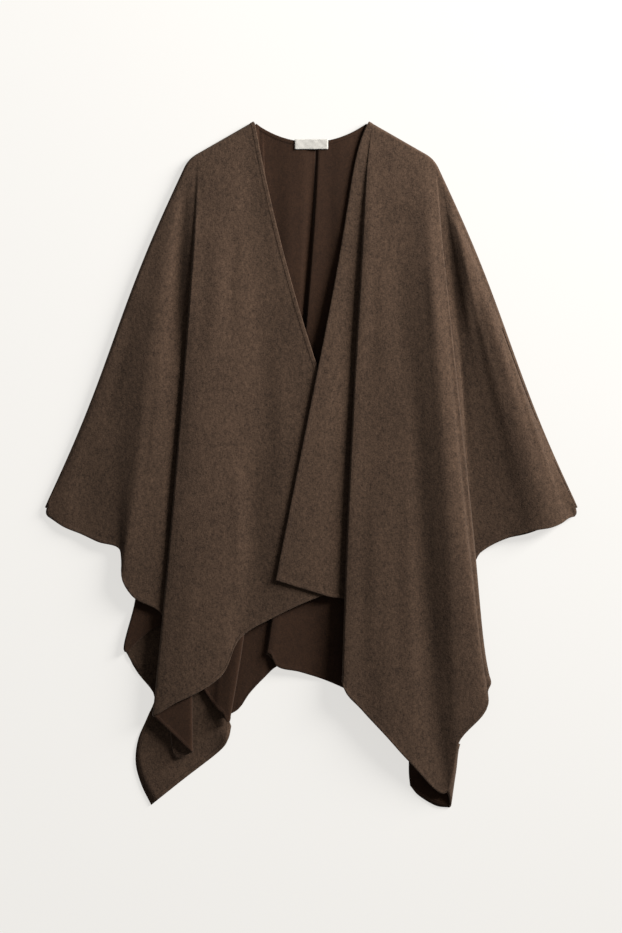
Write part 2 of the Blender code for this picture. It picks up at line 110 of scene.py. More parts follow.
# each row is a line from the fold to the hem: its start along the fold, its middle and its end;
# edge and return are the two lines of a fold that laps over its neighbour
leftFrontRows = (
    Row("frontEdge", "soft", 0, 0, 188, 16.6, 140, -172, 11.6),
    Row("besideEdge", "soft", 8, -25, 182, 16.6, 78, -188, 13.6),
    Row("dip", "soft", 18, -47, 175, 16.6, -4, -216, 19.5),
    Row("flank", "soft", 32, -79, 166, 17, -59, -242, 17.5),
    Row("fluteShoulder", "soft", 46, -109, 140, 21, -113, -275, 16.5),
    Row("fluteRight", "soft", 58, -136, 108, 24.5, -143, -335, 20.5),
    Row("fluteCrest", "soft", 72, -165, 81, 27, -181, -362, 22.5),
    Row("fluteLeft", "soft", 88, -190, 65, 27, -217, -379, 22.5),
    Row("grooveEdge", "edge", 101, -210, 52, 25, -252, -398, 20),
    Row("grooveReturn", "return", 109, -191, 57, 15, -190, -459, 9.5),
    Row("corner", "soft", 114, -207, 66, 15, -212, -468, 5.5),
    Row("sideLow", "soft", 119, -215, 76, 16.5, -226, -415, 8),
    Row("sideHigh", "soft", 126, -222, 92, 18, -229, -311, 12.5),
    Row("smallFluteRight", "soft", 150, -234, 105, 19.5, -239, -236, 17),
    Row("smallFluteTop", "soft", 172, -250, 109, 21, -286, -208, 18),
    Row("smallFluteCrest", "soft", 200, -263, 110, 22.3, -301, -184, 18.8),
    Row("smallFluteSide", "soft", 240, -280, 106, 19.5, -302, -153, 16.5),
    Row("smallFluteFoot", "soft", 285, -298, 97, 16, -305, -135, 14),
    Row("wingMiddle", "soft", 390, -324, 60, 12, -341, -122, 11),
    Row("wingOuter", "soft", 510, -357, 10, 10, -367, -110, 9),
    Row("wingEdge", "soft", 620, -391, -36, 9.5, -396, -98, 8),
    Row("tip", "soft", 721, -424, -76, 6, -420.5, -81.5, 4),
)

rightFrontRows = (
    Row("frontEdge", "soft", 0, 16, 182, 20.8, -57, -183, 23, 0, 0, -7.5),
    Row("flapMiddle", "soft", 2, 33, 176, 21.5, -15, -196, 23, 0, 0, -6.5),
    Row("flapInner", "soft", 4, 50, 168, 20.5, 27, -209, 22, 0, 0, -5),
    Row("grooveReturn", "return", 7, 83, 118, 19.4, 68, -220, 17, 0, 0, -3.5),
    Row("grooveEdge", "edge", 10, 67.5, 95, 28.8, 50, -356, 26.4, 0, 0, -3.5),
    Row("fluteLeft", "soft", 26, 93, 86, 29.3, 80, -389, 25.5, 0, 0, -2),
    Row("fluteCrest", "soft", 50, 122, 75, 31, 118, -430, 26.5),
    Row("fluteRight", "soft", 70, 149, 58, 32.4, 157, -473, 22.5),
    Row("valley", "soft", 84, 172, 34, 33.6, 216, -522, 11),
    Row("ridgeLeft", "soft", 95, 192, 28, 39.2, 224, -494, 15),
    Row("ridgeCrest", "soft", 105, 211, 30, 43.5, 234, -444, 21),
    Row("ridgeRight", "soft", 117, 227, 44, 39.5, 281.5, -381, 22),
    Row("ridgeEdge", "edge", 130, 239.5, 60, 33, 286, -356, 19, -4.5),
    Row("ridgeReturn", "return", 142, 222.5, 66, 17, 241, -169, 6),
    Row("wingInner", "soft", 154, 252.5, 158, 12, 276, -135, 7),
    Row("wingFloor", "soft", 165, 263, 156, 14.7, 306, -119, 9.5),
    Row("wingDip", "soft", 177, 278, 152, 18, 338, -109, 15),
    Row("wingRise", "soft", 193, 288, 150, 21.7, 361, -103, 20),
    Row("wingCrest", "soft", 214, 299, 146, 23.8, 383, -99, 21.5),
    Row("wingFall", "soft", 400, 341, 88, 20, 399, -92.5, 17.5),
    Row("wingEdge", "soft", 600, 386, -12, 13.5, 412, -84, 9.5),
    Row("tip", "soft", 721, 424, -76, 6, 420.5, -81.5, 4),
)

backRows = (
    Row("leftTip", "soft", -791, -403, -75, 0, -400, -93, 0),
    Row("leftWingEdge", "soft", -700, -375, -34, 0, -381, -97, 0),
    Row("leftWingOuter", "soft", -560, -332, 25, 0, -346, -113, 0),
    Row("leftWingInner", "soft", -400, -285, 89, 0, -309, -129, 0),
    Row("turnTop", "soft", -330, -258, 105, 0, -273, -154, 6),
    Row("turnMiddle", "soft", -300, -224, 97, 4, -279, -215, 7),
    Row("turnLow", "soft", -275, -205, 92, 6, -294, -297, 7.5),
    Row("archLeft", "soft", -255, -199, 86, 6, -270, -274, 7),
    Row("archRise", "soft", -235, -189, 79, 5, -242, -257, 6.5),
    Row("archTop", "soft", -205, -178, 73, 4, -205, -287, 6),
    Row("archFall", "soft", -170, -160, 66, 3, -170, -361, 6.5),
    Row("archRight", "soft", -117, -127, 60, 4, -155, -383, 9),
    Row("leftSeamEnd", "soft", -91.6, -117, 58, 5, -151, -388, 11, 0, 2.8),
    Row("leftNeckCorner", "soft", -88, -110, 58, 5, -148, -391, 12, 0, 3.2),
    Row("sidePleatCrest", "soft", -83.5, -99, 57, 8, -140, -397, 13.4),
    Row("sidePleatEdge", "edge", -80, -76, 52, 9.4, -131, -409, 13.9),
    Row("sidePleatReturn", "return", -75, -88, 52, 0, -143, -401, 4.5),
    Row("underPleat", "soft", -66, -69, 52, 0, -117, -390, 4),
    Row("leftOfCentre", "soft", -38, -54, 57, 3, -100, -366, 3, 0, 2),
    Row("besideCentre", "soft", -12, -31, 73, 4, -77, -341, 3, 0, 3),
    Row("centreReturn", "return", 8, -8, 102, 0, -52, -321, 0.8, 0, 1),
    Row("centreEdge", "edge", 13, -19, 108, 9.4, -71, -300, 10.2, 0, 3.6),
    Row("centreCrest", "soft", 20, -4, 102, 9.4, -57, -319, 9.4, 0, 3.6),
    Row("rightOfCentre", "soft", 32, 20, 89, 9, -18, -330, 6, 0, 4),
    Row("rightMiddle", "soft", 47, 46, 81, 11.3, 22, -343, 2, 0, 5),
    Row("rightOuter", "soft", 62, 72, 73, 12, 56, -358, 0, 0, 5),
    Row("underRightFront", "soft", 76, 97, 65, 8, 94, -380, 0, 0, 4.5),
    Row("rightNeckCorner", "soft", 88, 102, 63, 0, 109, -394, 0, 0, 3.2),
    Row("rightSeamEnd", "soft", 91.6, 113, 62, 0, 116, -400, 0, 0, 2.8),
    Row("underRightFlute", "soft", 117, 126, 60, 0, 142, -423, 0),
    Row("underRightFlank", "soft", 150, 158, 57, 0, 186, -440, 0),
    Row("rightCorner", "soft", 195, 182, 54, 0, 214, -430, 0),
    Row("rightSideLow", "soft", 230, 203, 57, 0, 260, -362, 0),
    Row("rightSideHigh", "soft", 265, 225, 73, 0, 254, -231, 0),
    Row("rightWingInner", "soft", 300, 248, 129, 0, 276, -134, 0),
    Row("rightWingMiddle", "soft", 400, 285, 89, 0, 305, -119, 0),
    Row("rightWingOuter", "soft", 560, 332, 25, 0, 346, -109, 0),
    Row("rightWingEdge", "soft", 700, 375, -34, 0, 381, -97, 0),
    Row("rightTip", "soft", 791, 403, -75, 0, 400, -93, 0),
)

backCorner = Flap(
    "turnTop",
    "turnLow",
    slide=(2, -10),
    curl=5,
    firstSide=((-213, -263), (-152, -350), (-128, -417)),
    lastSide=(
        (-277, -332), (-251, -368), (-262, -402), (-277, -438), (-281, -475), (-272, -510),
        (-256, -543),
    ),
    farEdge=((-128, -417), (-133, -438), (-148, -458), (-202, -500), (-256, -543)),
)
rightCorner = Flap(
    "valley",
    "ridgeCrest",
    slide=(5, -25),
    curl=0,
    firstSide=((199, -544), (172, -528), (158, -512)),
    lastSide=((206, -452), (182, -458), (156, -466)),
    farEdge=((158, -512), (156, -492), (156, -466)),
)

# creases: from x, y to x, y, half width, height at the middle of its run
Crease = namedtuple("Crease", "x0 y0 x1 y1 width height")
leftFrontCreases = (
    Crease(-190, 480, -208, 130, 14, 4.2),
    Crease(-193, 490, -212, 150, 14, -6.0),
    Crease(-6, 330, -60, -220, 48, 5.5),
    Crease(-122, 20, -118, -270, 9, 1.6),
    Crease(-92, 60, -80, -230, 16, -1.8),
    Crease(-60, 240, -52, -120, 14, 1.2),
    Crease(-150, 380, -168, 140, 14, 1.4),
    Crease(-118, 400, -128, 190, 10, -1.2),
    Crease(-196, 240, -210, -30, 7, -0.8),
    Crease(-238, 250, -262, -60, 8, 1.0),
    Crease(-300, 190, -352, -20, 16, 1.2),
    Crease(-270, 260, -330, 40, 12, -1.0),
    Crease(-190, -180, -214, -330, 12, 1.2),
)
rightFrontCreases = (
    Crease(90, 500, 72, 130, 14, 3.0),
    Crease(224, 420, 256, 210, 14, 6.0),
    Crease(-6, 330, -60, -220, 48, 5.5),
    Crease(100, 430, 112, 120, 12, 1.2),
    Crease(140, 380, 158, 60, 14, -1.3),
    Crease(60, 60, 42, -140, 12, 0.9),
    Crease(20, 90, -6, -110, 11, -0.7),
    Crease(98, -40, 92, -330, 11, 1.3),
    Crease(140, -60, 146, -380, 12, -1.2),
    Crease(186, 330, 196, 190, 12, 1.8),
    Crease(240, 200, 262, -20, 10, 1.0),
    Crease(300, 260, 372, 20, 15, 1.4),
    Crease(262, 300, 330, 80, 13, -1.4),
    Crease(250, -120, 262, -300, 10, 1.0),
    Crease(188, -300, 206, -430, 12, 1.1),
)
backCreases = (
    Crease(-34, 470, -46, 260, 8, 0.8),
    Crease(36, 480, 40, 300, 10, 0.7),
    Crease(10, -180, 30, -320, 12, 0.8),
    Crease(60, -210, 72, -350, 9, -0.5),
)


def smoothPath(points, position):
    # a point of the Catmull-Rom curve through points, at 0 to 1
    points = np.asarray(points, float)
    spans = len(points) - 1
    at = min(max(position, 0.0), 1.0) * spans
    k = min(int(at), spans - 1)
    f = at - k
    p1, p2 = points[k], points[k + 1]
    p0 = points[k - 1] if k else 2 * p1 - p2
    p3 = points[k + 2] if k + 2 <= spans else 2 * p2 - p1
    return 0.5 * (
        2 * p1
        + (p2 - p0) * f
        + (2 * p0 - 5 * p1 + 4 * p2 - p3) * f**2
        + (3 * p1 - p0 - 3 * p2 + p3) * f**3
    )


def foldLine(along, side):
    # place and outward direction of the shoulder fold, mm from the neck
    s = shoulderFold
    neck = np.array((s["neckHalf"], s["neckHeight"]))
    corner = np.array((s["cornerX"], s["cornerY"]))
    tip = np.array((s["tipX"], s["tipY"]))
    first = (corner - neck) / np.linalg.norm(corner - neck)
    second = (tip - corner) / np.linalg.norm(tip - corner)
    bend = math.acos(first @ second)
    cutOff = s["cornerRadius"] * math.tan(bend / 2)
    straight = np.linalg.norm(corner - neck) - cutOff
    arc = s["cornerRadius"] * bend
    turn = min(max((along - straight) / arc, 0.0), 1.0) * bend
    heading = math.atan2(first[1], first[0]) - turn
    outward = np.array((-math.sin(heading), math.cos(heading)))
    if along <= straight:
        place = neck + first * along
    else:
        place = neck + first * straight
        place = place + (outward - np.array((-first[1], first[0]))) * s["cornerRadius"]
        past = max(along - straight - arc, 0.0)
        share = min(past / (np.linalg.norm(tip - corner) - cutOff), 1.0)
        place = place + second * past + outward * s["wingBow"] * math.sin(2 * math.pi * share)
    mirror = np.array((side, 1.0))
    return place * mirror, outward * mirror


def foldRadius(along):
    share = min(along / shoulderFold["length"], 1.0)
    neck, wing, tip = (shoulderFold[key] for key in ("radiusNeck", "radiusWing", "radiusTip"))
    ends = neck + (tip - neck) * share
    return ends + (wing - ends) * math.sin(math.pi * share) ** 2


def lipWidth(along):
    # how far a front reaches in under itself from the fold line
    s = shoulderFold
    return s["lipAtNeck"] + (s["lip"] - s["lipAtNeck"]) * min(along / s["lipGrowsOver"], 1.0)


def linePoint(start, row, down):
    # the quadratic through a line's start, middle and hem
    mid = np.array((row.midX, row.midY, row.midZ), float)
    hem = np.array((row.hemX, row.hemY, row.hemZ), float)
    power = lineBow["power"]
    low, high = down**power * (1 - down), (1 - down) ** power * down
    bow = np.array(((row.lowDx * low + row.highDx * high) * lineBow["scale"], 0.0, 0.0))
    return (
        (start + np.array((0.0, 0.0, row.topZ))) * (1 - 2 * down) * (1 - down)
        + mid * 4 * down * (1 - down)
        + hem * down * (2 * down - 1)
        + bow
    )


def lapShape(overlap, height):
    # the S of a fold that laps over its neighbour: overlap, turn, radius, flat part
    tight = detail["tightestRadius"]
    if height < 4 * tight:
        turn = math.acos(1 - height / (2 * tight))
        limit = 2 * tight * (1 - math.sin(turn))
        overlap = min(overlap, math.copysign(limit, turn - math.pi / 2))
    if overlap <= 0:
        reach = height - overlap
        turn = 2 * math.atan2(height, reach)
        return overlap, turn, reach / (2 * math.sin(turn)), 0.0
    if overlap >= height / 2:
        return overlap, math.pi, height / 4, overlap - height / 2
    low, high = math.pi / 2, math.pi
    for _ in range(30):
        turn = (low + high) / 2
        if (1 - math.sin(turn)) / (1 - math.cos(turn)) < overlap / height:
            low = turn
        else:
            high = turn
    return overlap, turn, height / (2 * (1 - math.cos(turn))), 0.0


def lapPoints(hidden, edge, way):
    # from the hidden return up and over to the upper layer past the edge
    count = detail["lapPoints"]
    height = max(edge[2] - hidden[2], 0.05)
    overlap, turn, radius, flat = lapShape((hidden[0] - edge[0]) * way, height)
    steps = 16
    angles = np.linspace(0.0, turn, steps)
    lower = np.stack((radius * np.sin(angles), radius * (1 - np.cos(angles))), axis=1)
    heading = np.array((math.cos(turn), math.sin(turn)))
    level = lower[-1] + np.linspace(0.0, flat, steps)[:, None] * heading
    upper = level[-1] + lower[-1] - lower[::-1]
    path = np.concatenate((lower, level[1:], upper[1:]))
    lengths = np.linalg.norm(np.diff(path, axis=0), axis=1)
    bends = np.ones(len(lengths))
    bends[steps - 1 : -(steps - 1)] = 0.0
    weights = 0.4 * lengths / lengths.sum() + 0.6 * bends / bends.sum()
    weights = np.concatenate(((0.0,), np.cumsum(weights)))
    wanted = np.linspace(0.0, weights[-1], count)
    across = np.interp(wanted, weights, path[:, 0]) - path[-1, 0] / 2
    levelShare = np.concatenate((np.zeros(steps - 1), np.linspace(0, 1, steps), np.ones(steps - 1)))
    levelShare = np.interp(wanted, weights, levelShare)
    mix = flat / (flat + height)
    share = np.linspace(0.0, 1.0, count) * (1 - mix) + levelShare * mix
    x = edge[0] + way * (overlap / 2 + across)
    y = hidden[1] + (edge[1] - hidden[1]) * share
    z = hidden[2] + np.interp(wanted, weights, path[:, 1])
    return np.stack((x, y, z), axis=1)


def section(rows, starts, down):
    points = []
    lines = [linePoint(start, row, down) for start, row in zip(starts, rows)]
    for k, row in enumerate(rows):
        if row.kind == "soft":
            points.append(lines[k])
        elif rows[k - 1].kind == "soft":
            edge, hidden = (k, k + 1) if row.kind == "edge" else (k + 1, k)
            way = math.copysign(1.0, rows[hidden].midX - rows[edge].midX)
            lap = lapPoints(lines[hidden], lines[edge], way)
            points.extend(lap if hidden == k else lap[::-1])
    return np.array(points)


def spreadOverPoints(rows, values):
    # one value for each point of a section, from one for each row
    spread = []
    for k, row in enumerate(rows):
        if row.kind == "soft":
            spread.append(values[k])
        elif rows[k - 1].kind == "soft":
            spread.extend(np.linspace(values[k], values[k + 1], detail["lapPoints"]))
    return np.array(spread, float)


def columnPlaces(rows, neckHalf):
    # where the sheet's columns fall, finer where the lines stand apart
    middles = spreadOverPoints(rows, [row.midX for row in rows])
    hems = spreadOverPoints(rows, [row.hemX for row in rows])
    hemsY = spreadOverPoints(rows, [row.hemY for row in rows])
    starts = spreadOverPoints(rows, [abs(row.start) - neckHalf for row in rows])
    soft = spreadOverPoints(rows, [row.kind == "soft" for row in rows])
    places = []
    for k in range(len(middles) - 1):
        turn = foldLine(starts[k], 1.0)[1] @ foldLine(starts[k + 1], 1.0)[1]
        turn = math.acos(min(turn, 1.0))
        wide = max(abs(middles[k + 1] - middles[k]), abs(hems[k + 1] - hems[k]))
        wide = max(wide, abs(hemsY[k + 1] - hemsY[k]) * 0.7)
        wide = max(wide, abs(starts[k + 1] - starts[k]) * 0.4)
        steps = math.ceil(max(wide / detail["widestSpan"], turn / detail["widestTurn"], 1.0))
        if not (soft[k] or soft[k + 1]):
            steps = 1
        places.extend(k + np.arange(steps) / steps)
    return places + [float(len(middles) - 1)]


def curveThrough(points, places):
    chords = np.maximum(np.linalg.norm(np.diff(points, axis=0), axis=1), 1e-4)[:, None]
    slopes = np.diff(points, axis=0) / chords
    inner = (slopes[1:] * chords[:-1] + slopes[:-1] * chords[1:]) / (chords[:-1] + chords[1:])
    tangents = np.concatenate((slopes[:1], inner, slopes[-1:]))
    k = np.minimum(np.asarray(places).astype(int), len(points) - 2)
    f = (np.asarray(places) - k)[:, None]
    return (
        points[k] * (1 + 2 * f) * (1 - f) ** 2
        + points[k + 1] * (3 - 2 * f) * f**2
        + tangents[k] * chords[k] * f * (1 - f) ** 2
        - tangents[k + 1] * chords[k] * f**2 * (1 - f)
    )


def bandMarks():
    # distances from a free edge at which the turned hem needs a line of points
    w = cloth["hemWidth"]
    before, after, end = cloth["hemFall"]
    return (0.0, *cloth["hemRound"], w / 2, w + before, w, w + after, w + end)


def sheetSections(rows, starts, places, top, bandFirst):
    sheet = []
    slip = top - curveThrough(section(rows, starts, 0.0), places)
    for down in np.linspace(0.0, 1.0, detail["stepsDown"]):
        points = curveThrough(section(rows, starts, down), places) + slip * (1 - down) ** 3
        points[:, 2] = np.maximum(points[:, 2], restHeight)
        if bandFirst:
            points = bandAcross(points)
        sheet.append(points)
    return np.array(sheet)


def bandAcross(points):
    # more columns along the front edge, at the turned hem's lines
    lengths = np.concatenate(((0.0,), np.cumsum(np.linalg.norm(np.diff(points, axis=0), axis=1))))
    marks = np.array(bandMarks())
    last = detail["bandColumns"] - 1
    reach = lengths[last] * 0.8
    if marks[-1] > reach:
        marks = marks * reach / marks[-1]
    rest = marks[-1] + (lengths[last] - marks[-1]) * np.linspace(0, 1, 5)[1:]
    wanted = np.concatenate((marks, rest))
    near = np.stack([np.interp(wanted, lengths, points[:, c]) for c in range(3)], axis=1)
    return np.concatenate((near, points[last + 1 :]))


def bandDown(sheet):
    # the same sheet with its rows spaced evenly down each line, and fine lines at the hem
    marks = np.array(bandMarks())[::-1]
    out = np.empty((detail["stepsDown"] + len(marks), *sheet.shape[1:]))
    for c in range(sheet.shape[1]):
        line = sheet[:, c]
        lengths = np.concatenate(((0.0,), np.cumsum(np.linalg.norm(np.diff(line, axis=0), axis=1))))
        total = lengths[-1]
        own = marks * min(1.0, total * 0.5 / marks[0])
        body = np.linspace(0.0, total - own[0], detail["stepsDown"] + 1)[:-1]
        wanted = np.concatenate((body, total - own))
        for k in range(3):
            out[:, c, k] = np.interp(wanted, lengths, line[:, k])
    return out


def creaseHeights(points, creases):
    # soft troughs and ridges, fading at both ends
    x, y = points[..., 0], points[..., 1]
    rise = np.zeros(x.shape)
    for c in creases:
        ax, ay = c.x1 - c.x0, c.y1 - c.y0
        run = math.hypot(ax, ay)
        t = ((x - c.x0) * ax + (y - c.y0) * ay) / run**2
        bow = 0.4 * c.width * np.sin(np.pi * np.clip(t, 0, 1)) * math.copysign(1, c.height)
        away = ((x - c.x0) * ay - (y - c.y0) * ax) / run + bow
        fade = np.clip(np.sin(np.pi * np.clip(t, 0, 1)), 0, 1) ** 0.8
        rise += c.height * fade * np.exp(-((away / c.width) ** 2))
    return rise


def waveHeights(points, seed):
    flat = points.reshape(-1, 3)
    length = cloth["waveLength"]
    rise = [
        noise.noise(Vector((p[0] / length + seed, p[1] / (2.2 * length), 0.3 * seed))) for p in flat
    ]
    return np.array(rise).reshape(points.shape[:-1]) * cloth["wave"] * 2


def frontStart(along, side):
    place, outward = foldLine(along, side)
    radius = foldRadius(along)
    return np.array((*(place - outward * radius), restHeight + 2 * radius))


def backStart(start):
    s = shoulderFold
    side = math.copysign(1.0, start)
    at = min(abs(start), s["neckEdgeEnd"])
    rise = (s["neckHeight"] - s["neckEdgeLow"]) * (at / s["neckHalf"]) ** s["neckEdgePower"]
    edge = np.array((side * at, s["neckEdgeLow"] + rise))
    along = max(abs(start) - s["neckHalf"], 0.0)
    place, outward = foldLine(along, side)
    seam = place - outward * (lipWidth(along) + cloth["seamGap"])
    share = (abs(start) - s["neckEdgeEnd"]) / (s["neckHalf"] - s["neckEdgeEnd"])
    share = min(max(share, 0.0), 1.0)
    return np.array((*(edge * (1 - share) + seam * share), restHeight))


def raisedRows(rows):
    return [
        row._replace(midZ=row.midZ + restHeight, hemZ=row.hemZ + restHeight) for row in rows
    ]


def flapGrid(fold, flap):
    # a corner that turns under a fold and lies flat on the floor
    count = len(fold)
    shares = np.linspace(0.0, 1.0, count)[:, None]
    tangent = fold[-1, :2] - fold[0, :2]
    outward = np.array((tangent[1], -tangent[0])) / np.linalg.norm(tangent)
    inside = np.mean(flap.farEdge, axis=0) - fold[:, :2].mean(axis=0)
    outward *= -math.copysign(1.0, outward @ inside)
    radius = (fold[:, 2] - restHeight) / 2
    full, least = cornerTurn["bulgeFirst"], cornerTurn["bulgeLast"]
    bulge = radius * (full - (full - least) * shares[:, 0] ** cornerTurn["bulgePower"])
    slide = np.array(flap.slide) * (1 - shares) ** 2
    rings = []
    for angle in np.linspace(0.0, math.pi, detail["stepsRound"])[1:]:
        turned = fold.copy()
        turned[:, :2] += outward * (bulge * math.sin(angle))[:, None]
        turned[:, :2] += slide * (1 - math.cos(angle)) / 2
        turned[:, 2] -= radius * (1 - math.cos(angle))
        rings.append(turned)
    fold = rings[-1]
    first = (fold[0, :2], *flap.firstSide)
    last = (fold[-1, :2], *flap.lastSide)
    far = np.array([smoothPath(flap.farEdge, share) for share in shares[:, 0]])
    curled = np.sin(np.pi * np.minimum(shares[:, 0] / cornerTurn["curlSpan"], 1.0)) ** 2
    rows = []
    for out in np.linspace(0.0, 1.0, detail["flapRows"]):
        start, end = smoothPath(first, out), smoothPath(last, out)
        ruled = fold[:, :2] * (1 - out) + far * out
        sides = start * (1 - shares) + end * shares
        corners = (first[0] * (1 - out) + far[0] * out) * (1 - shares)
        corners = corners + (last[0] * (1 - out) + far[-1] * out) * shares
        rise = flap.curl * out ** cornerTurn["curlPower"] * curled
        rows.append(np.column_stack((ruled + sides - corners, restHeight + rise)))
    rows = np.array(rows)
    marks = np.array(bandMarks())[::-1]
    steps = detail["stepsFlap"]
    flat = np.empty((steps + len(marks), count, 3))
    for c in range(count):
        line = rows[:, c]
        lengths = np.concatenate(((0.0,), np.cumsum(np.linalg.norm(np.diff(line, axis=0), axis=1))))
        own = marks * min(1.0, lengths[-1] * 0.5 / marks[0])
        body = np.linspace(0.0, lengths[-1] - own[0], steps + 1)[:-1]
        wanted = np.concatenate((body, lengths[-1] - own))
        for k in range(3):
            flat[:, c, k] = np.interp(wanted, lengths, line[:, k])
    return np.concatenate((np.array(rings), flat[1:]))


def distanceToPath(points, path):
    # shortest distance in plan from points to a polyline
    best = np.full(len(points), 1e9)
    for a, b in zip(path[:-1], path[1:]):
        run = b - a
        t = np.clip(((points - a) @ run) / max(run @ run, 1e-9), 0, 1)[:, None]
        best = np.minimum(best, np.linalg.norm(points - (a + run * t), axis=1))
    return best


def rowColumn(rows, places, name):
    order = list(spreadOverPoints(rows, range(len(rows))))
    wanted = [row.name for row in rows].index(name)
    return places.index(float(order.index(wanted)))


def lengthsAlong(grid, axis):
    # distance walked along each line of a grid
    steps = np.linalg.norm(np.diff(grid, axis=axis), axis=2)
    walked = np.cumsum(steps, axis=axis)
    pad = [(1, 0), (0, 0)] if axis == 0 else [(0, 0), (1, 0)]
    return np.pad(walked, pad)


def sheetObject(name, grid, edgeMm, materials, turned=None, turnedEdgeMm=None, columns=()):
    # an open surface from its grid, thickened to the cloth's wall
    rows, count = grid.shape[:2]
    points = list(grid.reshape(-1, 3))
    edges = list(edgeMm.reshape(-1))
    faces = []
    for j in range(rows - 1):
        for i in range(count - 1):
            k = j * count + i
            faces.append((k, k + 1, k + 1 + count, k + count))
    if turned is not None:
        above = [(rows - 1) * count + i for i in columns]
        for j, row in enumerate(turned):
            below = list(range(len(points), len(points) + len(row)))
            points.extend(row)
            edges.extend(turnedEdgeMm[j])
            for i in range(len(row) - 1):
                faces.append((above[i], above[i + 1], below[i + 1], below[i]))
            above = below
    across, down = grid[5:-1, 1:] - grid[5:-1, :-1], grid[6:, :-1] - grid[5:-1, :-1]
    if np.cross(across, down)[..., 2].sum() < 0:
        faces = [f[::-1] for f in faces]
    data = bpy.data.meshes.new(name)
    placed = [(x * mm, (y - planMiddleY) * mm, z * mm) for x, y, z in points]
    data.from_pydata(placed, [], faces)
    data.shade_smooth()
    for material in materials:
        data.materials.append(material)
    piece = bpy.data.objects.new(name, data)
    bpy.context.scene.collection.objects.link(piece)
    attribute = data.attributes.new("edgeDistance", "FLOAT", "POINT")
    attribute.data.foreach_set("value", np.array(edges, float))
    full = cloth["hemThickness"]
    w = cloth["hemWidth"]
    narrow, wide = cloth["hemRound"]
    before, after, end = cloth["hemFall"]
    wall = np.interp(
        edges,
        (0, narrow, wide, w + before, w, w + after, w + end),
        (0.5 * full, 0.85 * full, full, full, 0.92 * full, cloth["thickness"], cloth["thickness"]),
    )
    group = piece.vertex_groups.new(name="wall")
    for k, value in enumerate(wall):
        group.add((k,), float(value / full), "REPLACE")
    solid = piece.modifiers.new("wall", "SOLIDIFY")
    solid.thickness = full * mm
    solid.offset = 0.0
    solid.use_even_offset = False
    solid.vertex_group = "wall"
    solid.material_offset = 1
    solid.material_offset_rim = 0
    return piece


def frontPiece(name, rows, side, creases, materials, seed, flap=None):
    places = columnPlaces(rows, 0.0)
    along = spreadOverPoints(rows, [row.start for row in rows])
    along = np.interp(places, np.arange(len(along)), along)
    starts = [frontStart(row.start, side) for row in rows]
    top = [frontStart(a, side) for a in along]
    sheet = sheetSections(rows, starts, places, top, True)
    extra = sheet.shape[1] - len(places)
    band = detail["bandColumns"]
    fine = np.linspace(along[0], along[band], extra + band, endpoint=False)
    along = np.concatenate((fine, along[band:]))
    sheet = bandDown(sheet)
    fade = np.clip(np.linspace(0, 1, len(sheet)) / detail["fadeAtFold"], 0, 1)[:, None]
    sheet[..., 2] += (creaseHeights(sheet, creases) + waveHeights(sheet, seed)) * fade
    sheet[..., 2] = np.maximum(sheet[..., 2], restHeight)
    outward = np.array([foldLine(a, side)[1] for a in along])
    radius = np.array([foldRadius(a) for a in along])[:, None]
    turned = []
    for angle in np.linspace(math.pi, 0.0, detail["stepsRound"])[:-1]:
        ring = sheet[0].copy()
        ring[:, :2] += outward * radius * math.sin(angle)
        ring[:, 2:] -= radius * (1 - math.cos(angle))
        turned.append(ring)
    width = np.array([lipWidth(a) for a in along])[:, None]
    lip = turned[0].copy()
    lip[:, :2] -= outward * (width - radius)
    grid = np.array([lip, *turned, *sheet])
    down = lengthsAlong(grid, 0)
    across = lengthsAlong(grid, 1)
    edge = np.minimum(down[-1:] - down, across)
    edge = np.minimum(edge, across[:, -1:] - across)
    if flap is None:
        return sheetObject(name, grid, edge, materials)
    shift = grid.shape[1] - len(places)
    first = rowColumn(rows, places, flap.firstRow) + shift
    last = rowColumn(rows, places, flap.lastRow) + shift
    return withCorner(name, grid, edge, across, first, last, flap, materials)


def withCorner(name, grid, edge, across, first, last, flap, materials):
    # the corner shares the hem's points between two rows, where there is no free edge
    corner = flapGrid(grid[-1, first : last + 1], flap)
    hem = grid[-1, :, :2]
    free = [hem[: first + 1], hem[last:]]
    turn = detail["stepsRound"] - 1
    outline = np.concatenate((corner[turn:, 0, :2], corner[-1, :, :2], corner[::-1, -1, :2][:-turn]))
    for i in range(first, last + 1):
        line = grid[:, i, :2]
        near = np.minimum(distanceToPath(line, free[0]), distanceToPath(line, free[1]))
        edge[:, i] = np.minimum(near, across[:, i])
    cornerEdge = [distanceToPath(row[:, :2], outline) for row in corner]
    return sheetObject(name, grid, edge, materials, corner, cornerEdge, range(first, last + 1))


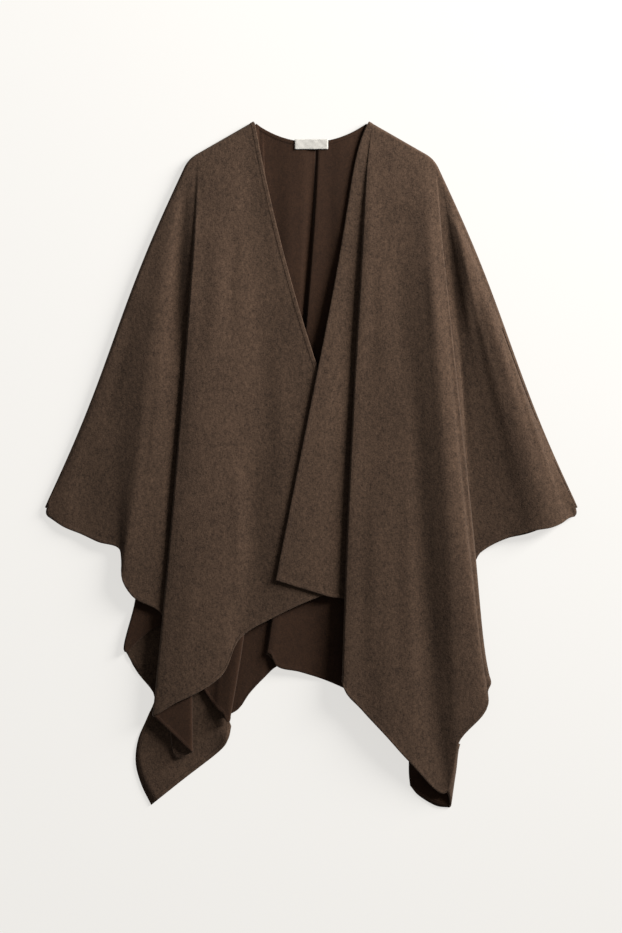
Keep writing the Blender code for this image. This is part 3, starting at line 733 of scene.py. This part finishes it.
def backPiece(name, rows, flap, creases, materials):
    places = columnPlaces(rows, shoulderFold["neckHalf"])
    along = spreadOverPoints(rows, [row.start for row in rows])
    along = np.interp(places, np.arange(len(along)), along)
    starts = [backStart(row.start) for row in rows]
    lift = spreadOverPoints(rows, [row.topZ for row in rows])
    lift = np.interp(places, np.arange(len(lift)), lift)
    top = [backStart(a) + np.array((0.0, 0.0, z)) for a, z in zip(along, lift)]
    sheet = bandDown(sheetSections(raisedRows(rows), starts, places, top, False))
    neck = np.array(bandMarks())
    lengths = lengthsAlong(sheet, 0)
    fine = []
    for c in range(sheet.shape[1]):
        marks = neck * min(1.0, lengths[2, c] * 0.9 / neck[-1])
        column = [np.interp(marks, lengths[:, c], sheet[:, c, k]) for k in range(3)]
        fine.append(np.stack(column, axis=1))
    sheet = np.concatenate((np.stack(fine, axis=1), sheet[2:]))
    sheet[..., 2] += creaseHeights(sheet, creases)
    sheet[..., 2] = np.maximum(sheet[..., 2], restHeight)
    down = lengthsAlong(sheet, 0)
    across = lengthsAlong(sheet, 1)
    edge = down[-1:] - down
    atNeck = np.abs(along) <= shoulderFold["neckEdgeEnd"]
    edge = np.where(atNeck[None, :], np.minimum(edge, down), edge)
    edge = np.minimum(edge, np.minimum(across, across[:, -1:] - across) + 1.0)
    first = rowColumn(rows, places, flap.firstRow)
    last = rowColumn(rows, places, flap.lastRow)
    return withCorner(name, sheet, edge, across, first, last, flap, materials), sheet


print("materials")


def newGroup(name, inputs, outputs):
    group = bpy.data.node_groups.new(name, "ShaderNodeTree")
    for socketName, kind, value in inputs:
        socket = group.interface.new_socket(name=socketName, in_out="INPUT", socket_type=kind)
        if value is not None:
            socket.default_value = value
    for socketName, kind in outputs:
        group.interface.new_socket(name=socketName, in_out="OUTPUT", socket_type=kind)
    return group, group.nodes.new("NodeGroupInput"), group.nodes.new("NodeGroupOutput")


def mathNode(tree, operation, a, b=0.5):
    node = tree.nodes.new("ShaderNodeMath")
    node.operation = operation
    for socket, value in zip(node.inputs, (a, b)):
        if isinstance(value, (int, float)):
            socket.default_value = value
        else:
            tree.links.new(value, socket)
    return node.outputs[0]


def weightedSum(tree, a, weightA, b, weightB):
    return mathNode(
        tree, "ADD", mathNode(tree, "MULTIPLY", a, weightA), mathNode(tree, "MULTIPLY", b, weightB)
    )


def mixColor(tree, factor, a, b):
    node = tree.nodes.new("ShaderNodeMix")
    node.data_type = "RGBA"
    for socket, value in ((node.inputs[0], factor), (node.inputs[6], a), (node.inputs[7], b)):
        if isinstance(value, (int, float, tuple)):
            socket.default_value = value
        else:
            tree.links.new(value, socket)
    return node.outputs[2]


def noiseNode(tree, vector, scale, detailLevel, rough=0.5):
    node = tree.nodes.new("ShaderNodeTexNoise")
    node.inputs["Detail"].default_value = detailLevel
    node.inputs["Roughness"].default_value = rough
    tree.links.new(vector, node.inputs["Vector"])
    if isinstance(scale, (int, float)):
        node.inputs["Scale"].default_value = scale
    else:
        tree.links.new(scale, node.inputs["Scale"])
    return node.outputs["Fac"]


def stretched(tree, vector, amounts, turn=0.0):
    node = tree.nodes.new("ShaderNodeMapping")
    node.inputs["Scale"].default_value = amounts
    node.inputs["Rotation"].default_value = (0, 0, turn)
    tree.links.new(vector, node.inputs["Vector"])
    return node.outputs["Vector"]


def makeWoolFibres():
    # brushed wool: dark and light fibres carded together, lying mostly down the cloth
    group, inside, out = newGroup(
        "woolFibres",
        [
            ("Dark", "NodeSocketColor", (0.03, 0.018, 0.012, 1)),
            ("Light", "NodeSocketColor", (0.08, 0.05, 0.035, 1)),
            ("Fibre Scale", "NodeSocketFloat", 700.0),
            ("Contrast", "NodeSocketFloat", 1.0),
        ],
        [("Color", "NodeSocketColor"), ("Height", "NodeSocketFloat")],
    )
    place = group.nodes.new("ShaderNodeTexCoord").outputs["Object"]
    scale = inside.outputs["Fibre Scale"]
    fine = noiseNode(group, stretched(group, place, (1, 0.45, 1), 0.12), scale, 3, 0.6)
    crossed = noiseNode(group, stretched(group, place, (0.5, 1, 1), -0.5), scale, 2, 0.5)
    tuft = noiseNode(group, stretched(group, place, (1, 0.55, 1)), 190.0, 3, 0.6)
    cloud = noiseNode(group, place, 22.0, 2, 0.5)
    both = weightedSum(group, fine, 0.55, crossed, 0.45)
    level = weightedSum(group, both, 0.62, tuft, 0.28)
    level = weightedSum(group, level, 1.0, cloud, 0.10)
    centred = mathNode(group, "SUBTRACT", level, 0.5)
    centred = mathNode(group, "MULTIPLY", centred, inside.outputs["Contrast"])
    spread = mathNode(group, "MULTIPLY_ADD", centred, 3.2)
    spread.node.inputs[2].default_value = 0.5
    spread.node.use_clamp = True
    carded = mixColor(group, spread, inside.outputs["Dark"], inside.outputs["Light"])
    group.links.new(carded, out.inputs["Color"])
    group.links.new(weightedSum(group, both, 0.7, tuft, 0.6), out.inputs["Height"])
    return group


def makeHemStitch():
    # the turned hem's line: a shallow groove where the edge is sewn down by hand; its mask both
    # dents the cloth and darkens its colour as painted shade
    group, inside, out = newGroup(
        "hemStitch",
        [("Width", "NodeSocketFloat", 6.6), ("Softness", "NodeSocketFloat", 0.7)],
        [("Groove", "NodeSocketFloat")],
    )
    reader = group.nodes.new("ShaderNodeAttribute")
    reader.attribute_name = "edgeDistance"
    past = mathNode(group, "SUBTRACT", reader.outputs["Fac"], inside.outputs["Width"])
    away = mathNode(group, "ABSOLUTE", past)
    ramp = group.nodes.new("ShaderNodeMapRange")
    ramp.interpolation_type = "SMOOTHSTEP"
    group.links.new(away, ramp.inputs["Value"])
    ramp.inputs["From Min"].default_value = 0.0
    group.links.new(inside.outputs["Softness"], ramp.inputs["From Max"])
    ramp.inputs["To Min"].default_value = 1.0
    ramp.inputs["To Max"].default_value = 0.0
    group.links.new(ramp.outputs["Result"], out.inputs["Groove"])
    return group


woolFibres = makeWoolFibres()
hemStitch = makeHemStitch()


def woolMaterial(name, look):
    material = bpy.data.materials.new(name)
    material.use_nodes = True
    tree = material.node_tree
    shader = tree.nodes["Principled BSDF"]
    fibres = tree.nodes.new("ShaderNodeGroup")
    fibres.node_tree = woolFibres
    fibres.inputs["Dark"].default_value = (*look["dark"], 1)
    fibres.inputs["Light"].default_value = (*look["light"], 1)
    fibres.inputs["Fibre Scale"].default_value = look["fibreScale"]
    fibres.inputs["Contrast"].default_value = look["contrast"]
    stitch = tree.nodes.new("ShaderNodeGroup")
    stitch.node_tree = hemStitch
    stitch.inputs["Width"].default_value = cloth["hemWidth"]
    # painted shade: the stitch groove's colour is darkened towards a deeper shade of the dark
    # fibres, on top of its bump
    depth = mathNode(tree, "MULTIPLY", stitch.outputs["Groove"], look["grooveShadeMix"])
    grooveShadeColour = (*[c * look["grooveShade"] for c in look["dark"]], 1)
    shaded = mixColor(tree, depth, fibres.outputs["Color"], grooveShadeColour)
    tree.links.new(shaded, shader.inputs["Base Color"])
    height = weightedSum(
        tree, fibres.outputs["Height"], look["nap"], stitch.outputs["Groove"], -look["grooveDepth"]
    )
    bump = tree.nodes.new("ShaderNodeBump")
    bump.inputs["Strength"].default_value = look["bump"]
    bump.inputs["Distance"].default_value = 0.0012
    tree.links.new(height, bump.inputs["Height"])
    tree.links.new(bump.outputs["Normal"], shader.inputs["Normal"])
    shader.inputs["Roughness"].default_value = 0.95
    shader.inputs["Specular IOR Level"].default_value = 0.15
    shader.inputs["Sheen Weight"].default_value = look["sheen"]
    shader.inputs["Sheen Roughness"].default_value = 0.55
    shader.inputs["Sheen Tint"].default_value = (1.0, 0.86, 0.76, 1)
    return material


melangeLook = {
    "dark": (0.0190, 0.0105, 0.0061),
    "light": (0.084, 0.0500, 0.0316),
    "fibreScale": 520.0,
    "contrast": 1.15,
    "nap": 1.0,
    "bump": 0.55,
    "grooveShadeMix": 0.5,
    "grooveShade": 0.35,
    "grooveDepth": 0.35,
    "sheen": 0.12,
}
plainLook = {
    "dark": (0.0176, 0.0078, 0.0038),
    "light": (0.0370, 0.0168, 0.0084),
    "fibreScale": 620.0,
    "contrast": 1.3,
    "nap": 0.7,
    "bump": 0.4,
    "grooveShadeMix": 0.45,
    "grooveShade": 0.35,
    "grooveDepth": 0.35,
    "sheen": 0.08,
}
melangeWool = woolMaterial("melangeWool", melangeLook)
plainWool = woolMaterial("plainWool", plainLook)

labelLook = {
    "colour": (0.58, 0.565, 0.525),
    "threads": 2600.0,
    "worn": 0.86,
}


def satinMaterial():
    material = bpy.data.materials.new("labelSatin")
    material.use_nodes = True
    tree = material.node_tree
    shader = tree.nodes["Principled BSDF"]
    place = tree.nodes.new("ShaderNodeTexCoord").outputs["Object"]
    wave = tree.nodes.new("ShaderNodeTexWave")
    wave.bands_direction = "Y"
    wave.inputs["Scale"].default_value = labelLook["threads"]
    tree.links.new(place, wave.inputs["Vector"])
    patch = noiseNode(tree, place, 90.0, 2)
    worn = tuple(c * labelLook["worn"] for c in labelLook["colour"])
    cloudy = mixColor(tree, patch, (*worn, 1), (*labelLook["colour"], 1))
    tree.links.new(cloudy, shader.inputs["Base Color"])
    bump = tree.nodes.new("ShaderNodeBump")
    bump.inputs["Strength"].default_value = 0.25
    bump.inputs["Distance"].default_value = 0.0003
    tree.links.new(wave.outputs["Fac"], bump.inputs["Height"])
    tree.links.new(bump.outputs["Normal"], shader.inputs["Normal"])
    shader.inputs["Roughness"].default_value = 0.5
    shader.inputs["Sheen Weight"].default_value = 0.1
    return material


labelSatin = satinMaterial()

print("back")
back, backSheet = backPiece("backCloth", backRows, backCorner, backCreases, (plainWool, melangeWool))
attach(back, "root")
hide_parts("back_panel")

print("fronts")
leftFront = frontPiece(
    "leftFrontCloth", leftFrontRows, -1.0, leftFrontCreases, (melangeWool, plainWool), 3.1
)
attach(leftFront, "root")
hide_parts("front_left")

rightFront = frontPiece(
    "rightFrontCloth", rightFrontRows, 1.0, rightFrontCreases, (melangeWool, plainWool), 7.7,
    rightCorner,
)
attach(rightFront, "root")
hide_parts("front_right")

print("label")
label = {
    "left": -26.3,
    "right": 26.8,
    "top": 521.5,
    "depth": 16.0,
    "thickness": 0.8,
    "bridge": 16.0,      # how far it spans over the folds beneath
    "columns": 54,
    "rows": 20,
    "puff": 0.35,
    "ripple": 0.12,
}


def labelPiece():
    # a woven strip sewn on along all four sides, puffed between them; its ends, folded under on the
    # real label, are left flat here
    x = np.linspace(label["left"], label["right"], label["columns"])
    y = np.linspace(label["top"], label["top"] - label["depth"], label["rows"])
    clear = cloth["thickness"] / 2 + cloth["seamGap"] + label["thickness"] / 2
    flat = backSheet.reshape(-1, 3)
    near = flat[(abs(flat[:, 0]) < 60) & (flat[:, 1] > 470)]
    places = np.arange(-50.0, 51.0, 2.0)
    ends = []
    for py in (y[0], y[-1]):
        row = near[abs(near[:, 1] - min(py, shoulderFold["neckEdgeLow"])) < 6]
        highest = np.array([row[abs(row[:, 0] - p) < label["bridge"], 2].max() for p in places])
        ends.append([highest[abs(places - px) <= label["bridge"] / 2].mean() for px in x])
    points = []
    for j, py in enumerate(y):
        share = (y[0] - py) / label["depth"]
        for i, px in enumerate(x):
            under = ends[0][i] * (1 - share) + ends[1][i] * share
            inset = min(i, len(x) - 1 - i, j + 1, len(y) - j)
            puff = label["puff"] * math.sin(min(inset / 3.0, 1.0) * math.pi / 2)
            ripple = label["ripple"] * math.sin(px * 0.42) * math.sin(py * 0.5)
            points.append((px * mm, (py - planMiddleY) * mm, (under + clear + puff + ripple) * mm))
    n = len(x)
    faces = [
        (j * n + i + n, j * n + i + n + 1, j * n + i + 1, j * n + i)
        for j in range(len(y) - 1)
        for i in range(n - 1)
    ]
    data = bpy.data.meshes.new("neckLabel")
    data.from_pydata(points, [], faces)
    data.shade_smooth()
    data.materials.append(labelSatin)
    piece = bpy.data.objects.new("neckLabel", data)
    bpy.context.scene.collection.objects.link(piece)
    solid = piece.modifiers.new("wall", "SOLIDIFY")
    solid.thickness = label["thickness"] * mm
    solid.offset = 0.0
    return piece


neckLabel = labelPiece()
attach(neckLabel, "root")
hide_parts("neck_label")

print("stage")
studio = {
    "floorColour": (0.93, 0.912, 0.88),
    "floorGlow": 0.735,
    "floorShade": 0.25,
    "floorReach": 6.0,
    "floorDrop": 0.0006,      # the hems are thicker than the cloth, so they reach lower
    "keyPower": 1060.0,
    "keyAzimuth": 33.0,       # degrees from the right towards the top of the picture
    "keyElevation": 22.0,
    "keyDistance": 5.0,
    "keySize": 2.8,
    "keyTurn": -60.0,         # turned aside, so that the foot of the picture gets less
    "fill": 0.16,
    "cameraShift": (-0.0004, -0.0016),
    "cameraHeight": 5.0,
    "sensorWidth": 36.0,
    "pictureHeight": 1.4928,
}

floorData = bpy.data.meshes.new("floor")
reach = studio["floorReach"]
corners = [(-reach, -reach, 0), (reach, -reach, 0), (reach, reach, 0), (-reach, reach, 0)]
floorData.from_pydata(corners, [], [(0, 1, 2, 3)])
floor = bpy.data.objects.new("floor", floorData)
floor.location.z = -studio["floorDrop"]
bpy.context.scene.collection.objects.link(floor)

paper = bpy.data.materials.new("palePaper")
paper.use_nodes = True
paperShader = paper.node_tree.nodes["Principled BSDF"]
paperColour = [c * studio["floorShade"] for c in studio["floorColour"]]
paperShader.inputs["Base Color"].default_value = (*paperColour, 1)
paperShader.inputs["Roughness"].default_value = 1.0
paperShader.inputs["Specular IOR Level"].default_value = 0.0
paperShader.inputs["Emission Color"].default_value = (*studio["floorColour"], 1)
paperShader.inputs["Emission Strength"].default_value = studio["floorGlow"]
floorData.materials.append(paper)


def addSoftbox(name, power, azimuth, elevation, distance, size, turn, colour):
    lamp = bpy.data.lights.new(name, "AREA")
    lamp.shape = "DISK"
    lamp.size = size
    lamp.energy = power
    lamp.color = colour
    holder = bpy.data.objects.new(name, lamp)
    a, e = math.radians(azimuth), math.radians(elevation)
    towards = Vector((math.cos(a) * math.cos(e), math.sin(a) * math.cos(e), math.sin(e)))
    holder.location = towards * distance
    holder.rotation_mode = "QUATERNION"
    aside = Quaternion((0, 0, 1), math.radians(turn))
    holder.rotation_quaternion = aside @ towards.to_track_quat("Z", "Y")
    bpy.context.scene.collection.objects.link(holder)


addSoftbox(
    "key", studio["keyPower"], studio["keyAzimuth"], studio["keyElevation"], studio["keyDistance"],
    studio["keySize"], studio["keyTurn"], (1.0, 0.985, 0.96),
)

world = bpy.data.worlds.new("studio")
world.use_nodes = True
world.node_tree.nodes["Background"].inputs["Color"].default_value = (1.0, 0.99, 0.98, 1)
world.node_tree.nodes["Background"].inputs["Strength"].default_value = studio["fill"]
bpy.context.scene.world = world

cameraData = bpy.data.cameras.new("camera")
cameraData.sensor_width = studio["sensorWidth"]
cameraData.lens = studio["sensorWidth"] * studio["cameraHeight"] / studio["pictureHeight"]
camera = bpy.data.objects.new("camera", cameraData)
shiftX, shiftY = studio["cameraShift"]
camera.location = (shiftX, shiftY - planMiddleY * mm, studio["cameraHeight"])
bpy.context.scene.collection.objects.link(camera)
bpy.context.scene.camera = camera
bpy.context.scene.view_settings.view_transform = "Standard"

print("done")
